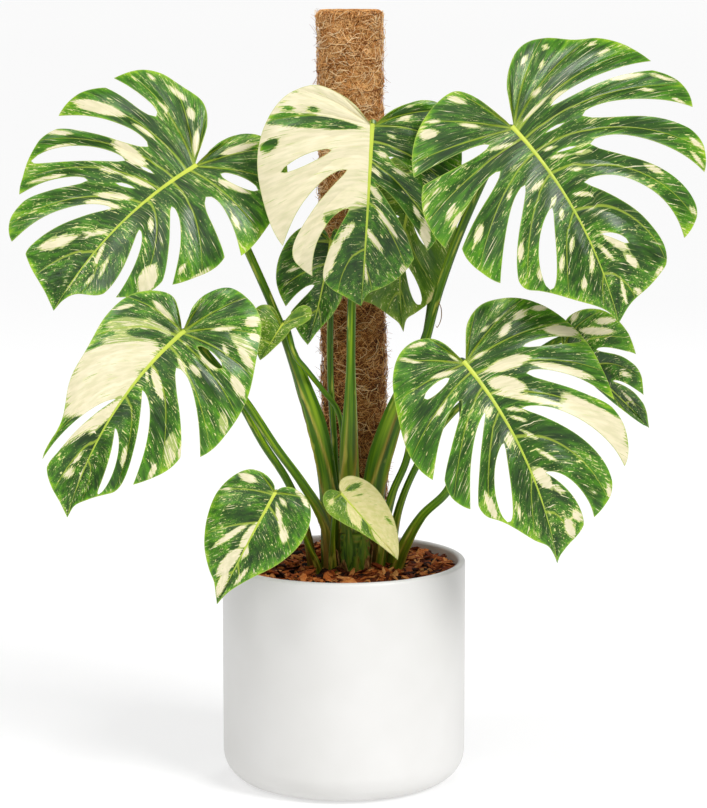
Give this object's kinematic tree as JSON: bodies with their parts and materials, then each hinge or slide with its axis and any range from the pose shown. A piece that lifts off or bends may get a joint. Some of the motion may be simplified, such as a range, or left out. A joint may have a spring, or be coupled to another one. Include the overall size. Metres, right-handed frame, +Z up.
{
  "type": "potted variegated split-leaf monstera on a coir pole",
  "caption": "Potted climbing house plant with large split, cream-streaked leaves on long stalks, held by a coir pole in a plain white cylinder pot filled with bark mix.",
  "frame": {"origin": "centre of the pot's flat underside", "axes": "+X to the viewer's right, +Y away from the viewer towards the pole's side, +Z up along the pole"},
  "size_m": [0.661, 0.2847, 0.756],
  "materials": {
    "pot": "satin off-white glaze, plain",
    "bark": "loose chipped bark potting mix",
    "coir": "matted coconut fibre wrap",
    "pole_core": "plain round stake",
    "stem": "green living stem with old leaf scars",
    "leaf_stalk": "smooth green living stalk",
    "leaf_blade": "waxy green leaf with cream streaks and a paler rib"
  },
  "bodies": {
    "root": {"bark_mix": "bark", "coir_sleeve": "coir", "leaf_back_left": "leaf_blade", "leaf_back_right": "leaf_blade", "leaf_curled": "leaf_blade", "leaf_far_right": "leaf_blade", "leaf_lower_left": "leaf_blade", "leaf_lower_right": "leaf_blade", "leaf_middle_top": "leaf_blade", "leaf_small_front": "leaf_blade", "leaf_small_left": "leaf_blade", "leaf_upper_left": "leaf_blade", "leaf_upper_right": "leaf_blade", "pole_core": "pole_core", "pot": "pot", "stalk_back_left": "leaf_stalk", "stalk_back_right": "leaf_stalk", "stalk_behind_lower_left": "leaf_stalk", "stalk_curled": "leaf_stalk", "stalk_far_right": "leaf_stalk", "stalk_lower_left": "leaf_stalk", "stalk_lower_right": "leaf_stalk", "stalk_middle_top": "leaf_stalk", "stalk_small_front": "leaf_stalk", "stalk_small_left": "leaf_stalk", "stalk_upper_left": "leaf_stalk", "stalk_upper_right": "leaf_stalk", "stem": "stem"}
  },
  "joints": []
}
